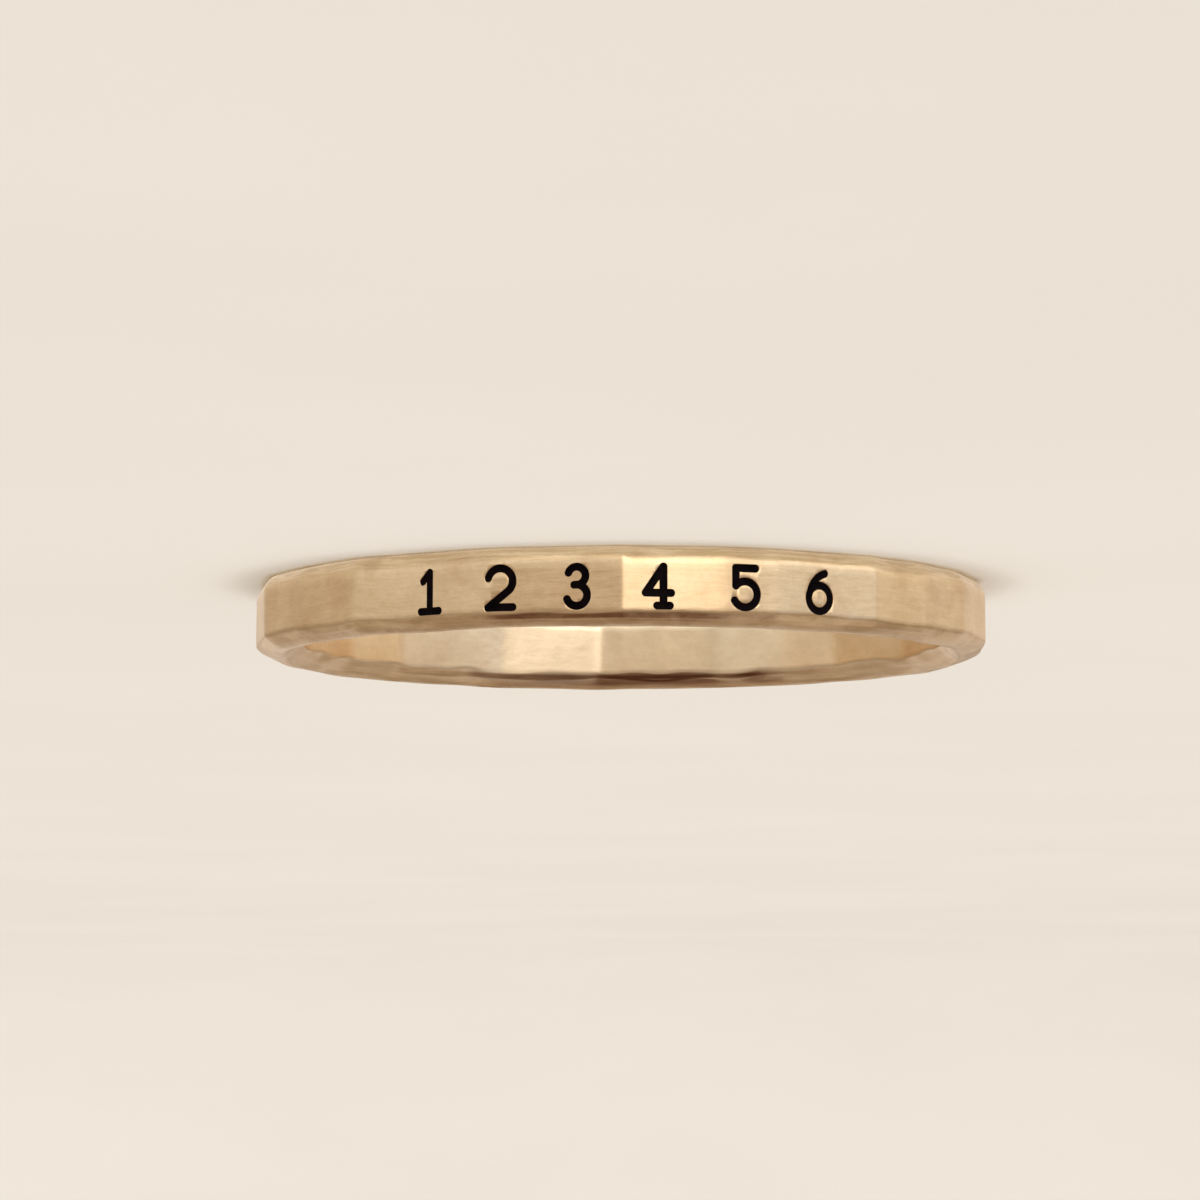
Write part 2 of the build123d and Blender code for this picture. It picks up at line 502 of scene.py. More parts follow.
class HammeredWall:
    """A wall of flats round the Z axis, with softened ridges between them."""

    def __init__(self, flats: tuple[Flat, ...]) -> None:
        """Works out the plane of each flat.

        Args:
            flats: The flats, in the order of their ridge angles.
        """
        self.starts = np.array([flat.ridge_angle for flat in flats])
        radius = np.array([flat.ridge_radius for flat in flats])
        turn = np.radians(self.starts)
        places = np.stack([radius * np.cos(turn), radius * np.sin(turn)], axis=1)
        along = np.roll(places, -1, axis=0) - places
        normals = unit(np.stack([along[:, 1], -along[:, 0]], axis=1))
        self.distance = np.sum(normals * places, axis=1)
        self.facing = np.degrees(np.arctan2(normals[:, 1], normals[:, 0]))
        self.slope = np.tan(np.radians([flat.lean for flat in flats]))
        bend = np.radians(np.mod(self.facing - np.roll(self.facing, 1), 360))
        self.soft = np.array([flat.softness for flat in flats]) * bend**2 / 4

    def index(self, angle: Array) -> Array:
        """The number of the flat at each angle."""
        turned = np.mod(angle - self.starts[0], 360) + self.starts[0]
        return np.searchsorted(self.starts, turned, side="right") - 1

    def _plane(self, index: Array, angle: Array, height: Array) -> Array:
        """The radius of one flat's plane.

        Args:
            index: The number of each point's flat.
            angle: Each point's angle.
            height: Each point's height.

        Returns:
            The radius at each point.
        """
        index = np.mod(index, len(self.starts))
        reach = self.distance[index] - height * self.slope[index]
        return reach / np.cos(np.radians(angle - self.facing[index]))

    def radius(self, angle: Array, height: Array) -> Array:
        """The wall's radius.

        Args:
            angle: Each point's angle.
            height: Each point's height.

        Returns:
            The radius at each point.
        """
        index = self.index(angle)
        here = self._plane(index, angle, height)
        lower = self.soft[index]
        upper = self.soft[np.mod(index + 1, len(self.starts))]
        before = here - self._plane(index - 1, angle, height)
        after = here - self._plane(index + 1, angle, height)
        fall = lower * np.logaddexp(0, before / lower)
        return here - fall - upper * np.logaddexp(0, after / upper)

    def _across(self, angle: Array) -> tuple[Array, Array, Array]:
        """Where each angle lies on its flat.

        Args:
            angle: Each point's angle.

        Returns:
            The flat's number, its width in degrees and how far past its ridge the angle is.
        """
        index = self.index(angle)
        start = self.starts[index]
        width = np.mod(np.roll(self.starts, -1)[index] - start, 360)
        return index, width, np.mod(angle - start, 360)

    def crowd(self, angle: Array, share: float) -> Array:
        """Evenly spaced angles, drawn towards the ridges by a share."""
        index, width, place = self._across(angle)
        return self.starts[index] + width * crowded(place / width, share)

    def steps(self, angle: Array, values: Array, blend: float) -> Array:
        """A value of each flat, with a soft change at the ridges.

        Args:
            angle: Each point's angle.
            values: The value of each flat.
            blend: The width of the change in degrees.

        Returns:
            The value at each point.
        """
        index, width, place = self._across(angle)
        before = np.clip(0.5 - place / blend, 0, 0.5)
        after = np.clip(0.5 - (width - place) / blend, 0, 0.5)
        here = values[index]
        rise = (values[np.mod(index + 1, len(values))] - here) * after
        return here + (values[index - 1] - here) * before + rise


def crowded(place: Array, share: float) -> Array:
    """Even places from 0 to 1, drawn towards both ends by a share."""
    return place - share * np.sin(2 * pi * place) / (2 * pi)


# ---- unevenness


NOISE_RADIUS = 9.85  # where the noise round the band is read


def swells(places: Iterable[tuple[float, float, float]]) -> Array:
    """Smooth noise at each place, from -1 to 1."""
    return np.clip(1.6 * np.array([noise.noise(Vector(place)) for place in places]), -1, 1)


@dataclass(frozen=True)
class Waver:
    """A smooth change round the band, whose swells have one size in millimetres."""

    depth: float
    size: float
    seed: float

    def _noise(self, angle: Array) -> Array:
        """Smooth noise round the band, from -1 to 1.

        Args:
            angle: The angles in degrees.

        Returns:
            The noise at each angle.
        """
        reach = NOISE_RADIUS / self.size
        keys, back = np.unique(np.round(angle, 4), return_inverse=True)
        places = [(reach * cos(turn), reach * sin(turn), self.seed) for turn in np.radians(keys)]
        return swells(places)[back.ravel()]

    def both_ways(self, angle: Array) -> Array:
        """The change at each angle, from minus the depth to the depth."""
        return self.depth * self._noise(angle)

    def one_way(self, angle: Array) -> Array:
        """The change at each angle, from nothing to the depth."""
        return self.depth * (0.5 + 0.5 * self._noise(angle))


# ---- numerals


ARC_STEP = 0.03  # the length of the steps round a bow
END_STEPS = 28  # the steps round a stroke's end
END_SWELL = 1.01  # a stroke's end is a hair wider than the stroke, so that it takes in its corners
FILL_DISH = ((1.0, 0.0), (0.8, 0.004), (0.5, 0.010), (0.0, 0.013))  # places across, and how deep
LIP_PLACES = (0, 0.35, 0.7, 1.0)
FLARE = (2.5, 0.8)  # how far a groove's cutter flares over the face, sideways and upwards, in lips
CUTTER_TOP = 0.25


class Layer(Enum):
    """What a numeral's strokes are made into."""

    GROOVE = "groove"
    FILL = "fill"


@dataclass(frozen=True)
class Leg:
    """One part of a pen's way: a turn about an upright axis, or a straight way."""

    centre: Vector
    turn: float
    way: Vector
    steps: int


@dataclass(frozen=True)
class Move:
    """One movement of the pen, whose outline starts at a radius from a centre."""

    ends: tuple[Vector, Vector]
    centre: Vector
    out: Vector
    radius: float
    legs: tuple[Leg, ...]

    def sweep(self, bm: BMesh, outline: Outline) -> None:
        """Adds the solid that the pen's outline leaves along the way.

        Args:
            bm: The bmesh that it goes into, empty before.
            outline: The pen's outline as places across the path and heights.
        """
        corners = []
        for side, height in outline:
            place = self.centre + self.out * (self.radius + side) + Vector((0, 0, height))
            corners.append(bm.verts.new(place))
        reached = corners + [bm.edges.new(pair) for pair in zip(corners, corners[1:] + corners[:1])]
        for leg in self.legs:
            turn = {"cent": leg.centre, "axis": (0, 0, 1), "angle": leg.turn, "steps": leg.steps}
            reached = bmesh.ops.spin(bm, geom=reached, dvec=leg.way, **turn)["geom_last"]
        rims = [edge for edge in bm.edges if edge.is_boundary]
        bmesh.ops.holes_fill(bm, edges=rims, sides=len(outline))
        bmesh.ops.recalc_face_normals(bm, faces=bm.faces)


def run(start: tuple[float, float], end: tuple[float, float]) -> Move:
    """A straight pen movement.

    Args:
        start: Where the pen starts.
        end: Where it stops.

    Returns:
        The movement.
    """
    first, last = Vector((*start, 0)), Vector((*end, 0))
    out = (last - first).cross(Vector((0, 0, 1))).normalized()
    return Move((first, last), first, out, 0.0, (Leg(first, 0.0, last - first, 1),))


def bow(
    centre: tuple[float, float], radius: float, start: float, end: float, tail: float = 0.0
) -> Move:
    """A round pen movement, with a straight tail where it has one.

    Args:
        centre: The bow's centre.
        radius: Its radius.
        start: The angle where the pen starts.
        end: The angle where the round part ends.
        tail: The tail's length.

    Returns:
        The movement.
    """
    middle = Vector((*centre, 0))
    turns = (radians(start), radians(end))
    first, last = (middle + radius * Vector((cos(turn), sin(turn), 0)) for turn in turns)
    tail_way = Vector((-sin(turns[1]), cos(turns[1]), 0)) * copysign(tail, end - start)
    turn = radians(end - start)
    steps = max(4, round(abs(turn) * radius / ARC_STEP))
    legs = (Leg(middle, turn, Vector(), steps),)
    if tail:
        legs += (Leg(middle, 0.0, tail_way, 1),)
    return Move((first, last + tail_way), middle, (first - middle).normalized(), radius, legs)


@dataclass(frozen=True)
class Numeral:
    """One numeral: its fill's name in the CAD model, and the pen movements that draw it."""

    name: str
    moves: tuple[Move, ...]

    def solid(self, name: str, profile: Outline, step: float) -> Object:
        """Joins the strokes of the numeral into one flat-lying solid.

        Args:
            name: The solid's name.
            profile: Half of the pen's outline, from its lowest middle to its highest.
            step: The widest stretch without a cut across it, so that the solid can bend.

        Returns:
            The solid.
        """
        outline = profile[1:-1] + [(-side, height) for side, height in reversed(profile[1:-1])]
        strokes = []
        for move in self.moves:
            bm = bmesh.new()
            move.sweep(bm, outline)
            strokes.append(mesh_object(name, bm))
        ends = [end for move in self.moves for end in move.ends]
        for end in {tuple(round(part, 4) for part in end): end for end in ends}.values():
            bm = bmesh.new()
            self._turn(bm, end, profile)
            strokes.append(mesh_object(name, bm))
        whole, *others = strokes
        combine(whole, others, "UNION")
        bm = bmesh.new()
        bm.from_mesh(whole.data)
        self._clean(bm)
        reach = max(abs(vertex.co.x) for vertex in bm.verts)
        for place in np.arange(-reach + step, reach, step):
            cut = {"plane_co": (place, 0, 0), "plane_no": (1, 0, 0), "dist": 1e-5}
            bmesh.ops.bisect_plane(bm, geom=bm.verts[:] + bm.edges[:] + bm.faces[:], **cut)
        bm.to_mesh(whole.data)
        bm.free()
        return whole

    @staticmethod
    def _clean(bm: BMesh) -> None:
        """Takes the slivers out of joined strokes, and closes what they leave open.

        Args:
            bm: The joined strokes.
        """
        bmesh.ops.remove_doubles(bm, verts=bm.verts, dist=1e-4)
        bmesh.ops.dissolve_degenerate(bm, edges=bm.edges, dist=1e-4)
        bmesh.ops.dissolve_limit(bm, verts=bm.verts, edges=bm.edges, angle_limit=radians(0.5))
        loose = [edge for edge in bm.edges if edge.is_wire]
        bmesh.ops.delete(bm, geom=loose, context="EDGES")
        rims = [edge for edge in bm.edges if edge.is_boundary]
        bmesh.ops.holes_fill(bm, edges=rims, sides=0)

    @staticmethod
    def _turn(bm: BMesh, centre: Vector, profile: Outline) -> None:
        """Adds the round end of a stroke.

        Args:
            bm: The bmesh that it goes into.
            centre: The end of the pen's path.
            profile: Half of the pen's outline.
        """
        places = [centre + Vector((END_SWELL * side, 0, height)) for side, height in profile]
        points = [bm.verts.new(place) for place in places]
        edges = [bm.edges.new(pair) for pair in zip(points, points[1:])]
        round_way = {"cent": centre, "axis": (0, 0, 1), "angle": 2 * pi, "steps": END_STEPS}
        bmesh.ops.spin(bm, geom=points + edges, use_merge=True, **round_way)
        bmesh.ops.remove_doubles(bm, verts=bm.verts, dist=1e-6)
        bmesh.ops.recalc_face_normals(bm, faces=bm.faces)


def numeral_moves(x: float, y: float) -> tuple[tuple[Move, ...], ...]:
    """The pen movements of the numerals 1 to 6.

    Args:
        x: How far the strokes' centre lines reach to each side.
        y: How far they reach up and down.

    Returns:
        The movements of each numeral.
    """
    away = hypot(x, x - 2 * y)
    touch = degrees(atan2(-2 * y + x, -x) + acos(x / away))
    upper = 0.46 * y
    lower = y - upper
    bar_y = -0.35 * y
    stem = 140
    stem_x = x * cos(radians(stem))
    stem_y = x - y + x * sin(radians(stem))
    sweep = 2 * y - x
    horn_shift = 0.019
    centre_x = sweep - x + horn_shift
    meeting = degrees(acos((x * x - centre_x * centre_x - sweep * sweep) / (2 * centre_x * sweep)))
    one = (
        run((-0.65 * x, 0.55 * y), (0, y)),
        run((0, y), (0, -y)),
        run((-0.85 * x, -y), (0.85 * x, -y)),
    )
    two = (bow((0, y - x), x, 165, touch, tail=sqrt(away**2 - x**2)), run((-x, -y), (x, -y)))
    three = (
        bow((0, y - upper), upper, 160, -62),
        bow((0, lower - y), lower, 62, -160),
        run((-0.2 * x, y - 2 * upper), (0.42 * x, y - 2 * upper)),
    )
    four = (
        run((0.4 * x, y), (-x, bar_y)),
        run((-x, bar_y), (x, bar_y)),
        run((0.4 * x, y), (0.4 * x, -y)),
        run((-0.1 * x, -y), (0.9 * x, -y)),
    )
    five = (
        run((0.85 * x, y), (stem_x, y)),
        run((stem_x, y), (stem_x, stem_y)),
        bow((0, x - y), x, stem, -150),
    )
    six = (
        bow((0, x - y), x, 0, 180),
        bow((0, x - y), x, 180, 360),
        bow((centre_x, x - y), sweep, meeting, 106),
    )
    return one, two, three, four, five, six


# ---- the ring


@dataclass
class NameRing:
    """The gold band with its grooves, and the enamel in them."""

    bore_radius: float = 8.65
    outer_radius: float = 9.85
    half_width: float = 1.0
    rest_height: float = 0.34
    rest_depth: float = 0.26
    top_height: float = 0.19
    top_depth: float = 0.22
    bevel_height: float = 0.20
    bevel_depth: float = 0.20
    outer_crown: float = 0.13
    inner_crown: float = 0.21
    face_middle: float = 0.035
    sectors: int = 22
    sector_steps: int = 40
    side_cuts: int = 9
    front_reach: float = 36.0
    ridge_crowding: float = 0.75
    corner_crowding: float = 0.7
    shoulder_blend: float = 4.0
    rest_waver: Waver = Waver(0.10, 1.6, 21.0)
    top_waver: Waver = Waver(0.14, 1.4, 23.0)
    bevel_waver: Waver = Waver(0.42, 1.4, 5.0)
    fine_bevel_waver: Waver = Waver(0.08, 0.8, 6.0)
    rim_waver: Waver = Waver(0.04, 2.0, 9.0)
    low_waver: Waver = Waver(0.01, 2.6, 1.0)
    wall_blend: float = 1.1
    rumple_depth: float = 0.012
    rumple_size: float = 0.9
    rumple_seed: float = 4.0
    crown_start: float = 0.3
    crown_rise: float = 0.4
    crown_flat: float = 0.45
    band_crease: float = 32.0
    fill_crease: float = 30.0
    bend_step: float = 0.06
    stroke_width: float = 0.19
    groove_depth: float = 0.18
    fill_depth: float = 0.028
    lip: float = 0.022
    reach_x: float = 0.325
    reach_y: float = 0.49
    numeral_angles: tuple[float, ...] = (-30.0, -18.0, -6.5, 5.5, 18.5, 31.0)
    outside: HammeredWall = field(default_factory=lambda: HammeredWall(OUTER_FLATS))
    inside: HammeredWall = field(default_factory=lambda: HammeredWall(INNER_FLATS))

    def build(self) -> tuple[Object, list[Object]]:
        """Builds and dresses every piece.

        Returns:
            The band, and the fills in the order of the numerals.
        """
        gold = BrushedGold().material()
        enamel = BlackEnamel().material()
        band = self._band()
        fills = []
        grooves = []
        moves = numeral_moves(self.reach_x, self.reach_y)
        for number, (angle, drawing) in enumerate(zip(self.numeral_angles, moves), start=1):
            numeral = Numeral(f"numeral_fill_{number}", drawing)
            place = Matrix.Translation((radians(angle) * self.outer_radius, 0, 0))
            groove = numeral.solid("groove", self._profile(Layer.GROOVE), self.bend_step)
            groove.data.transform(place)
            grooves.append(groove)
            profile = self._profile(Layer.FILL)
            fill = numeral.solid(f"enamel_numeral_{number}", profile, self.bend_step)
            fill.data.transform(place)
            self._roll_up(fill.data)
            close_up(fill, self.fill_crease, enamel)
            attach(fill, "root")
            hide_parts(numeral.name)
            fills.append(fill)
            log.info("%s: %d faces", fill.name, len(fill.data.polygons))
        self._engrave(band, grooves)
        close_up(band, self.band_crease, gold)
        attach(band, "root")
        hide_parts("band")
        log.info("%s: %d faces", band.name, len(band.data.polygons))
        return band, fills

    def _profile(self, layer: Layer) -> Outline:
        """Half of the pen's outline, from its lowest middle to its highest.

        Args:
            layer: Whether it is for the groove or for the fill.

        Returns:
            Places across the stroke and heights over the band's face.
        """
        half = self.stroke_width / 2
        floor = -self.groove_depth
        if layer is Layer.FILL:
            dish = [(place * half, -self.fill_depth - depth) for place, depth in FILL_DISH]
            return [(0, floor), (half, floor), *dish]
        flare = [(half + self.lip * place**2, self.lip * (place - 1)) for place in LIP_PLACES]
        side, rise = half + FLARE[0] * self.lip, FLARE[1] * self.lip
        above = [(side, rise), (side, CUTTER_TOP), (0, CUTTER_TOP)]
        return [(0, floor), (half, floor), *flare, *above]

    def _roll_out(self, mesh: Mesh) -> None:
        """Brings a part of the band to the flat sheet that the numerals are drawn on.

        Args:
            mesh: A mesh on the band. Its places become arc length, way up and height over the face.
        """
        x, y, z = read_places(mesh).T.astype(float)
        angle = np.degrees(np.arctan2(-x, -y))
        height = np.hypot(x, y) - self.outside.radius(angle, z)
        write_places(mesh, np.radians(angle) * self.outer_radius, self.face_middle - z, height)

    def _roll_up(self, mesh: Mesh) -> None:
        """Brings a mesh from the flat sheet back onto the band.

        Args:
            mesh: A mesh on the sheet.
        """
        across, up, height = read_places(mesh).T.astype(float)
        turn = across / self.outer_radius
        z = self.face_middle - up
        wrap(mesh, turn, self.outside.radius(np.degrees(turn), z) + height, z)

    def _band(self) -> Object:
        """Builds the hammered band before it is engraved.

        Returns:
            The band.
        """
        bm = bmesh.new()
        along = bm.verts.layers.float.new("along")
        corners = []
        for index, (radius, height) in enumerate(self._corners_at_rest()):
            corner = bm.verts.new((0, -radius, height))
            corner[along] = index
            corners.append(corner)
        edges = [bm.edges.new(pair) for pair in zip(corners, corners[1:])]
        bmesh.ops.subdivide_edges(bm, edges=edges, cuts=self.side_cuts)
        axis = {"cent": (0, 0, 0), "axis": (0, 0, 1)}
        sector = bm.verts[:] + bm.edges[:]
        width = 2 * pi / self.sectors
        bmesh.ops.spin(bm, geom=sector, angle=width, steps=self.sector_steps, **axis)
        sector = bm.verts[:] + bm.edges[:] + bm.faces[:]
        axis["use_duplicate"] = True
        bmesh.ops.spin(bm, geom=sector, angle=2 * pi, steps=self.sectors, **axis)
        bmesh.ops.remove_doubles(bm, verts=bm.verts, dist=1e-3)
        bmesh.ops.recalc_face_normals(bm, faces=bm.faces)
        band = mesh_object("gold_band", bm)
        self._hammer(band.data)
        return band

    def _engrave(self, band: Object, grooves: list[Object]) -> None:
        """Cuts the grooves into the part of the band that carries the numerals.

        Args:
            band: The band.
            grooves: The solids that are taken off, which are removed.
        """
        bm = bmesh.new()
        bm.from_mesh(band.data)
        front = [face for face in bm.faces if self._at_front(face)]
        part = bm.copy()
        bmesh.ops.delete(bm, geom=front, context="FACES")
        back = [face for face in part.faces if not self._at_front(face)]
        bmesh.ops.delete(part, geom=back, context="FACES")
        rims = [edge for edge in part.edges if edge.is_boundary]
        bmesh.ops.holes_fill(part, edges=rims, sides=0)
        engraved = mesh_object("front", part)
        self._roll_out(engraved.data)
        for groove in grooves:
            combine(engraved, [groove], "DIFFERENCE")
        self._roll_up(engraved.data)
        bm.from_mesh(engraved.data)
        bpy.data.objects.remove(engraved)
        longest = 4 * self.side_cuts
        caps = [face for face in bm.faces if len(face.verts) > longest]
        bmesh.ops.delete(bm, geom=caps, context="FACES_ONLY")
        bmesh.ops.remove_doubles(bm, verts=bm.verts, dist=1e-5)
        bm.to_mesh(band.data)
        bm.free()

    def _at_front(self, face: BMFace) -> bool:
        """Whether a face lies in the part of the band that carries the numerals."""
        middle = face.calc_center_median()
        return abs(degrees(atan2(-middle.x, -middle.y))) < self.front_reach

    def _corners_at_rest(self) -> Outline:
        """The corners of the band's plain section, with the first one again at the end."""
        corners = self._corners(np.zeros(1))
        return [(float(radius[0]), float(height[0])) for radius, height in corners + corners[:1]]

    def _corners(self, angle: Array) -> list[tuple[Array, Array]]:
        """The radius and height of the section's eight corners.

        Args:
            angle: The angles round the band.

        Returns:
            The corners in order round the section, at each angle.
        """
        even = np.ones_like(angle)
        rest = self.outside.steps(angle, REST_SHARES, self.shoulder_blend)
        rest = rest * (1 + self.rest_waver.both_ways(angle))
        top = self.outside.steps(angle, TOP_SHARES, self.shoulder_blend)
        top = top * (1 + self.top_waver.both_ways(angle))
        bevel = 1 + self.bevel_waver.both_ways(angle) + self.fine_bevel_waver.both_ways(angle)
        rim = 1 - self.rim_waver.one_way(angle)
        mouth = self.bore_radius + self.bevel_depth * bevel
        wall = self.bore_radius * even
        face = self.outer_radius * even
        low = -self.half_width * (even - self.low_waver.one_way(angle))
        high = self.half_width * rim
        return [
            (wall, low + self.bevel_height * bevel),
            (mouth, low),
            (face - self.rest_depth * rest, low),
            (face, low + self.rest_height * rest),
            (face, high - self.top_height * top),
            (face - self.top_depth * top, high),
            (mouth, high),
            (wall, high - self.bevel_height * bevel),
        ]

    def _hammer(self, mesh: Mesh) -> None:
        """Moves the vertices of the plain band onto the hammered one.

        Args:
            mesh: The band's mesh, whose attribute along says where on the section each vertex is.
        """
        places = read_places(mesh)
        along = np.empty(len(places), np.float32)
        mesh.attributes["along"].data.foreach_get("value", along)
        mesh.attributes.remove(mesh.attributes["along"])
        angle = np.degrees(np.arctan2(-places[:, 0], -places[:, 1])).astype(float)
        angle = self.outside.crowd(angle, self.ridge_crowding)
        radius, height = self._rounded(self._corners(angle), along.astype(float))
        height = self._crowned(radius, height)
        middle = (self.bore_radius + self.outer_radius) / 2
        reach = (self.outer_radius - self.bore_radius) / 2
        outer_share = np.clip(0.5 + (radius - middle) / (self.wall_blend * reach), 0, 1)
        outer = self.outside.radius(angle, height) - self.outer_radius
        inner = self.inside.radius(angle, height) - self.bore_radius
        radius = radius + outer_share * outer + (1 - outer_share) * inner
        turn = np.radians(angle)
        reach = NOISE_RADIUS / self.rumple_size
        across = height / self.rumple_size + self.rumple_seed
        dent = 0.5 + 0.5 * swells(zip(reach * np.cos(turn), reach * np.sin(turn), across))
        wrap(mesh, turn, radius - self.rumple_depth * dent, height)

    def _crowned(self, radius: Array, height: Array) -> Array:
        """The heights after the band's upper side has sunk a little towards both of its edges.

        Args:
            radius: Each point's radius.
            height: Each point's height.

        Returns:
            The new heights.
        """
        half = (self.outer_radius - self.top_depth - self.bore_radius - self.bevel_depth) / 2
        middle = self.bore_radius + self.bevel_depth + half
        upper = np.clip((height - self.crown_start) / self.crown_rise, 0, 1)
        share = np.clip(abs(radius - middle) / half, 0, 1)
        crown = np.where(radius > middle, self.outer_crown, self.inner_crown)
        flat = self.crown_flat
        return height - crown * upper * share**2 / (flat + (1 - flat) * share)

    def _rounded(self, corners: list[tuple[Array, Array]], along: Array) -> tuple[Array, Array]:
        """Places on the section with its corners rounded.

        Args:
            corners: The section's corners at each point's angle.
            along: Where each point is along the section, in corners.

        Returns:
            The radius and the height of each point.
        """
        points = np.stack([np.stack(corner, axis=1) for corner in corners])
        index = np.mod(np.floor(along).astype(int), 8)
        place = crowded(along - np.floor(along), self.corner_crowding)
        rows = np.arange(len(along))
        start = points[index, rows]
        end = points[(index + 1) % 8, rows]
        way = end - start
        length = np.linalg.norm(way, axis=1)
        result = start + way * place[:, None]
        before = (index, -1, end, place * length)
        after = ((index + 1) % 8, 1, start, (1 - place) * length)
        for nearest, far, inner, distance in (before, after):
            corner = points[nearest, rows]
            size = CORNER_ROUNDS[nearest]
            share = (0.5 + 0.5 * np.clip(distance / size, 0, 1))[:, None]
            first = corner + unit(points[(nearest + far) % 8, rows] - corner) * size[:, None]
            last = corner + unit(inner - corner) * size[:, None]
            curve = (1 - share) ** 2 * first + 2 * share * (1 - share) * corner + share**2 * last
            near = (distance < size)[:, None]
            result = np.where(near, curve, result)
        return result[:, 0], result[:, 1]


# The outside's ridges: angle, radius, softness and the lean of the flat after it
OUTER_FLATS = (
    Flat(-72.5, 9.850, 1.0, -0.8),
    Flat(-59.0, 9.730, 2.5, -0.6),
    Flat(-44.3, 9.838, 1.2, -0.2),
    Flat(-20.0, 9.832, 2.5, 0.0),
    Flat(0.3, 9.850, 0.4, 0.2),
    Flat(15.5, 9.820, 2.5, 0.4),
    Flat(23.8, 9.814, 0.8, 0.5),
    Flat(41.4, 9.838, 0.6, 0.3),
    Flat(52.5, 9.826, 0.9, 0.0),
    Flat(65.8, 9.832, 1.0, 0.3),
    Flat(80.0, 9.850, 1.0, 0.0),
    Flat(96.0, 9.820, 1.4, 1.0),
    Flat(114.0, 9.844, 0.8, -1.0),
    Flat(131.0, 9.808, 1.6, 1.5),
    Flat(147.0, 9.838, 0.7, -1.0),
    Flat(166.0, 9.826, 1.1, 0.5),
    Flat(184.0, 9.850, 0.8, -1.5),
    Flat(202.0, 9.814, 1.5, 1.0),
    Flat(219.0, 9.832, 0.9, -0.5),
    Flat(237.0, 9.820, 1.2, 1.5),
    Flat(254.0, 9.844, 0.8, -1.0),
    Flat(271.0, 9.826, 1.0, 0.5),
)

# How large the two shoulders beside each flat are, as shares of the full ones
REST_SHARES = np.array(
    (0.85, 0.95, 1, 0.9, 1, 0.9, 0.85, 1, 0.9, 1, 0.95)
    + (0.85, 1, 0.9, 0.85, 1, 0.9, 0.95, 0.85, 1, 0.9, 0.95)
)
TOP_SHARES = np.array(
    (1, 0.9, 0.9, 0.85, 1, 0.9, 0.95, 0.8, 1, 0.9, 0.85)
    + (1, 0.9, 0.85, 1, 0.9, 0.95, 0.85, 1, 0.9, 0.85, 1)
)

# The inside's ridges, even where the photograph doesn't show them
EVEN_RIDGES = (-78.0, -60.0, -43.0, -22.0, -3.0, 16.0, 36.0, 55.0, 75.0, 95.0, 116.0)
INNER_FLATS = (
    *(Flat(angle, 8.70, 2.0) for angle in EVEN_RIDGES),
    Flat(135.5, 8.70, 1.5, 0.5),
    Flat(148.3, 8.70, 1.5, 0.5),
    Flat(162.3, 8.70, 2.0, -0.3),
    Flat(184.1, 8.70, 0.8, -0.6),
    Flat(204.0, 8.70, 2.0, -0.8),
    Flat(225.6, 8.70, 1.5, -1.0),
    Flat(239.5, 8.70, 2.0, 0.0),
    Flat(260.0, 8.70, 2.0, 0.0),
)

# How far each corner of the section is rounded, from the inner wall's lower end
CORNER_ROUNDS = np.array((0.08, 0.12, 0.16, 0.15, 0.08, 0.08, 0.12, 0.06))


# ---- the studio


@dataclass
class Softbox:
    """A soft rectangular light that faces the ring."""

    name: str
    azimuth: float
    elevation: float
    distance: float
    width: float
    height: float
    radiance: float
    colour: Colour = (1.0, 1.0, 1.0)
    mirrored: bool = True

    def build(self) -> Object:
        """Makes the light.

        Returns:
            The light's object.
        """
        light = bpy.data.lights.new(self.name, "AREA")
        light.shape = "RECTANGLE"
        light.size = self.width
        light.size_y = self.height
        light.energy = self.radiance * pi * self.width * self.height
        light.color = self.colour
        lamp = bpy.data.objects.new(self.name, light)
        turn, rise = radians(self.azimuth), radians(self.elevation)
        way = Vector((-sin(turn) * cos(rise), -cos(turn) * cos(rise), sin(rise)))
        lamp.location = way * self.distance
        lamp.rotation_euler = way.to_track_quat("Z", "Y").to_euler()
        lamp.visible_camera = False
        lamp.visible_glossy = self.mirrored
        bpy.context.scene.collection.objects.link(lamp)
        return lamp


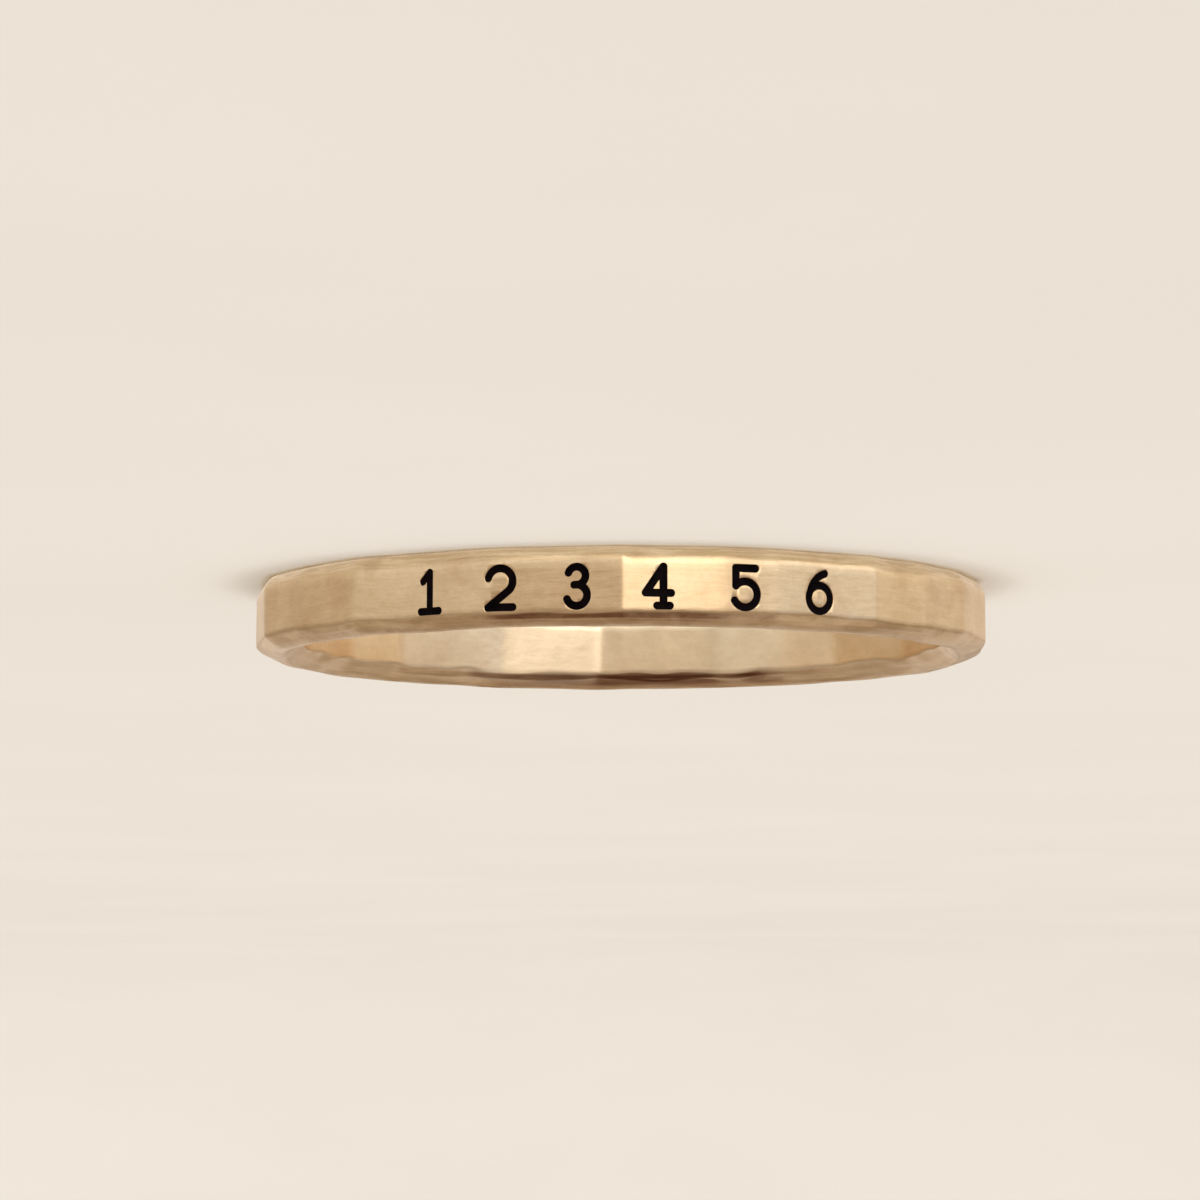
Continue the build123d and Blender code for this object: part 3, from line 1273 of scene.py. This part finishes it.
@dataclass
class Studio:
    """The pale floor with its curved wall, the lights and the camera."""

    floor_height: float = -1.0 * MM
    floor_radius: float = 0.30
    curve_radius: float = 0.16
    wall_top: float = 0.50
    camera_distance: float = 0.124
    camera_rise: float = 5.77
    lens: float = 138.05
    aim: tuple[float, float, float] = (0.000560, 0.0, -0.000645)
    sky: tuple[tuple[float, Colour], ...] = (
        (0.00, (0.72, 0.70, 0.65)),
        (0.42, (0.72, 0.65, 0.56)),
        (0.52, (0.42, 0.35, 0.28)),
        (0.66, (0.41, 0.34, 0.28)),
        (0.82, (0.42, 0.36, 0.30)),
        (0.91, (0.33, 0.26, 0.20)),
        (0.965, (0.10, 0.030, 0.012)),
    )
    softboxes: tuple[Softbox, ...] = (
        Softbox("overhead", 0, 89, 0.7, 1.1, 1.1, 1.45, mirrored=False),
        Softbox("front_right", 15, -8, 0.42, 0.25, 0.30, 1.0),
        Softbox("inside_right", 48, -25, 0.42, 0.48, 0.14, 0.85, (0.92, 1.0, 1.10)),
        Softbox("inside_left", -45, -25, 0.42, 0.40, 0.14, 0.30, (0.72, 1.0, 1.45)),
        Softbox("right", 58, -4, 0.42, 0.30, 0.24, 0.33, (0.70, 1.0, 1.45)),
        Softbox("side_right", 102, -8, 0.42, 0.26, 0.30, 0.30, (0.92, 1.0, 1.08)),
        Softbox("back_right", 146, -5, 0.42, 0.26, 0.30, 0.20),
        Softbox("high_back", 180, 22, 0.42, 0.56, 0.22, 0.24),
        Softbox("top_back", 180, 66, 0.42, 0.50, 0.14, 0.22, (1.0, 0.90, 0.80)),
        Softbox("high_right", 95, 60, 0.42, 0.34, 0.28, 0.24),
        Softbox("high_left", -105, 46, 0.42, 0.30, 0.26, 0.14),
        Softbox("left", -60, -3, 0.42, 0.28, 0.26, 0.22, (0.80, 1.0, 1.20)),
        Softbox("back_left", -165, -5, 0.42, 0.20, 0.30, 0.34),
        Softbox("under_front", 13, -42, 0.42, 0.15, 0.24, 1.9),
        Softbox("under_left", -20, -45, 0.42, 0.18, 0.20, 0.3),
    )

    def build(self) -> None:
        """Sets up everything round the ring."""
        self._surface()
        for softbox in self.softboxes:
            log.info("light %s", softbox.build().name)
        self._world()
        self._camera()

    def _surface(self) -> None:
        """The round floor, and the wall that it curves up into."""
        pale = PaleSurface().material()
        bm = bmesh.new()
        centre = bm.verts.new((0, 0, self.floor_height))
        edge = bm.verts.new((0, self.floor_radius, self.floor_height))
        run = bm.edges.new((centre, edge))
        bmesh.ops.subdivide_edges(bm, edges=[run], cuts=8)
        self._turned("studio_floor", bm, pale, ("glossy", "shadow"))
        bm = bmesh.new()
        edge = bm.verts.new((0, self.floor_radius, self.floor_height))
        bend = (0, self.floor_radius, self.floor_height + self.curve_radius)
        bmesh.ops.spin(bm, geom=[edge], cent=bend, axis=(1, 0, 0), angle=pi / 2, steps=16)
        rim = max(bm.verts, key=lambda vertex: vertex.co.z)
        lifted = bm.verts.new((0, rim.co.y, self.wall_top))
        bmesh.ops.subdivide_edges(bm, edges=[bm.edges.new((rim, lifted))], cuts=4)
        self._turned("studio_wall", bm, pale, ("glossy", "diffuse", "shadow"))

    @staticmethod
    def _turned(name: str, bm: BMesh, material: Material, unseen: tuple[str, ...]) -> None:
        """Turns a profile round the Z axis into a part of the studio.

        Args:
            name: The part's name.
            bm: The profile, which is freed.
            material: The part's material.
            unseen: The kinds of light that pass the part by.
        """
        way = {"cent": (0, 0, 0), "axis": (0, 0, 1), "angle": 2 * pi, "steps": 128}
        bmesh.ops.spin(bm, geom=bm.verts[:] + bm.edges[:], use_merge=True, **way)
        bmesh.ops.remove_doubles(bm, verts=bm.verts, dist=1e-6)
        bmesh.ops.recalc_face_normals(bm, faces=bm.faces)
        lowest = min(bm.faces, key=lambda face: face.calc_center_median().z)
        if lowest.normal.z < 0:
            bmesh.ops.reverse_faces(bm, faces=bm.faces)
        part = mesh_object(name, bm)
        part.data.polygons.foreach_set("use_smooth", [True] * len(part.data.polygons))
        part.data.materials.append(material)
        for kind in unseen:
            setattr(part, f"visible_{kind}", False)

    def _world(self) -> None:
        """A pale room round the studio, dark and warm overhead."""
        world = bpy.data.worlds.new("room")
        world.use_nodes = True
        tree = NodeTree(world.node_tree)
        where = tree.add("ShaderNodeTexCoord").outputs["Generated"]
        rise = Value(tree, tree.add("ShaderNodeSeparateXYZ", sockets={0: where}).outputs[2])
        ramp = tree.add("ShaderNodeValToRGB", {"stops": self.sky}, {0: 0.5 + 0.5 * rise})
        light = tree.add("ShaderNodeBackground", sockets={"Color": ramp.outputs[0]})
        tree.add("ShaderNodeOutputWorld", sockets={"Surface": light.outputs[0]})
        bpy.context.scene.world = world
        bpy.context.scene.view_settings.view_transform = "Standard"

    def _camera(self) -> None:
        """The camera at the photograph's angle, rolled so that the numerals stand upright."""
        lens = bpy.data.cameras.new("camera")
        lens.lens = self.lens
        lens.sensor_width = 36
        lens.clip_start = 0.01
        lens.clip_end = 5
        camera = bpy.data.objects.new("camera", lens)
        rise = radians(self.camera_rise)
        place = Vector((0, -cos(rise), sin(rise))) * self.camera_distance
        forward = (Vector(self.aim) - place).normalized()
        right = forward.cross(Vector((0, 0, -1))).normalized()
        up = right.cross(forward)
        turned = Matrix((right, up, -forward)).transposed().to_4x4()
        camera.matrix_world = Matrix.Translation(place) @ turned
        bpy.context.scene.collection.objects.link(camera)
        bpy.context.scene.camera = camera


def main() -> None:
    """Builds the ring and its studio, and reports each piece."""
    logging.basicConfig(level=logging.INFO, format="%(name)s: %(message)s")
    band, fills = NameRing().build()
    log.info("band %s with %d fills", band.name, len(fills))
    Studio().build()


if __name__ == "__main__":
    main()
